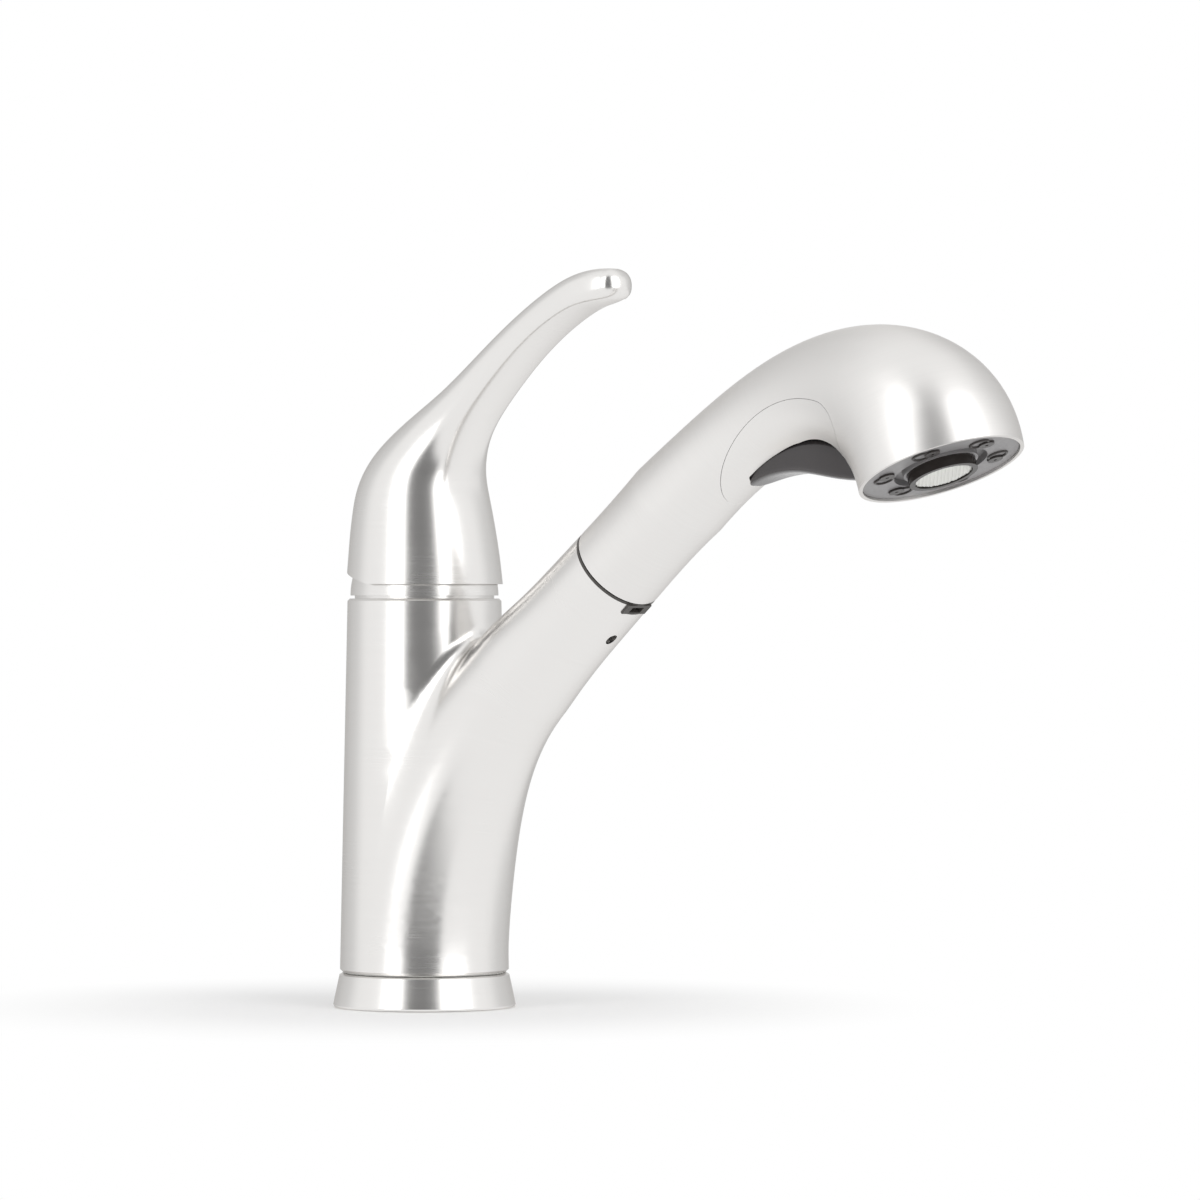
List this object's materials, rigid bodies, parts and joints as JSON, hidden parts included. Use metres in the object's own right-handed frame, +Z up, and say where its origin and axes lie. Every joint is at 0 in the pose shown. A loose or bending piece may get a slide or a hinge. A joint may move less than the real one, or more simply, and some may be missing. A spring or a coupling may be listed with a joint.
{
  "type": "pull-out kitchen faucet",
  "caption": "Single-lever pull-out kitchen faucet: swivelling Y-shaped body, tilting lever handle and a spray wand that slides out of the angled spout, with a spray toggle.",
  "frame": {"origin": "centre of the deck plane, on the axis of the mounting shank", "axes": "+Z up along the shank, +X forward along the spout, mirror plane at Y = 0"},
  "size_m": [0.2569, 0.0548, 0.2946],
  "materials": {
    "nickel": "brushed satin nickel plating",
    "brass": "machined",
    "copper": "drawn tube",
    "steel": "plain",
    "grey_plastic": "moulded",
    "dark_plastic": "semi-gloss moulded",
    "face_plastic": "moulded",
    "white_plastic": "moulded",
    "ring_plastic": "moulded",
    "ceramic": "lapped",
    "rubber": "soft",
    "silicone": "soft",
    "hose": "braided nylon"
  },
  "bodies": {
    "base": {"base_ring": "nickel", "deck_gasket": "rubber", "mounting_shank": "brass", "glide_ring": "white_plastic", "hub_clip": "steel"},
    "spout_body": {"body_casting": "nickel", "swivel_bush": "white_plastic", "hot_tube": "copper", "cold_tube": "copper", "mixed_tube": "copper", "port_seal": "rubber", "cartridge_base": "white_plastic", "fixed_disc": "ceramic", "cartridge_housing": "white_plastic", "cartridge_nut": "brass", "bonnet": "nickel", "dock_sleeve": "grey_plastic", "dock_screw": "steel"},
    "cartridge_rotor": {"cartridge_rotor": "white_plastic", "stem_pin": "steel"},
    "handle": {"handle_shell": "nickel", "lever_stem": "steel", "handle_screw": "steel", "handle_plug": "grey_plastic"},
    "moving_disc": {"moving_disc": "ceramic", "disc_carrier": "white_plastic"},
    "wand": {"wand_shell": "nickel", "button_bezel": "nickel", "toggle_pin": "steel", "wand_inlet": "white_plastic", "check_valve": "white_plastic", "hose_nut": "brass", "spray_hose": "hose", "waterway_tube": "white_plastic", "diverter_housing": "white_plastic", "spray_face": "face_plastic", "nozzle_mat": "silicone", "aerator_housing": "ring_plastic", "aerator_screen": "white_plastic"},
    "spray_toggle": {"spray_toggle": "dark_plastic"},
    "diverter_spool": {"diverter_spool": "white_plastic"}
  },
  "joints": [
    {"name": "body_swivel", "type": "hinge", "parent": "base", "child": "spout_body", "pos_m": [0, 0, 0.0104], "axis": [0, 0, 1], "range_deg": [-60, 60]},
    {"name": "handle_turn", "type": "hinge", "parent": "spout_body", "child": "cartridge_rotor", "pos_m": [0, 0, 0.123], "axis": [0, 0, 1], "range_deg": [-50, 50]},
    {"name": "handle_lift", "type": "hinge", "parent": "cartridge_rotor", "child": "handle", "pos_m": [0, 0, 0.123], "axis": [0, -1, 0], "range_deg": [0, 18]},
    {"name": "disc_slide", "type": "slide", "parent": "cartridge_rotor", "child": "moving_disc", "axis": [1, 0, 0], "range_m": [0, 0.0038]},
    {"name": "wand_pull", "type": "slide", "parent": "spout_body", "child": "wand", "axis": [0.7826, 0, 0.6225], "range_m": [0, 0.15], "deforming": ["spray_hose"]},
    {"name": "toggle_rock", "type": "hinge", "parent": "wand", "child": "spray_toggle", "pos_m": [0.15406, 0, 0.16772], "axis": [0, -1, 0], "range_deg": [0, 5]},
    {"name": "spool_slide", "type": "slide", "parent": "wand", "child": "diverter_spool", "axis": [0.9265, 0, 0.3762], "range_m": [0, 0.0022]}
  ],
  "couplings": [
    {"joint": "disc_slide", "follows": "handle_lift", "m_per_rad": 0.012},
    {"joint": "spool_slide", "follows": "toggle_rock", "m_per_rad": 0.0252}
  ]
}
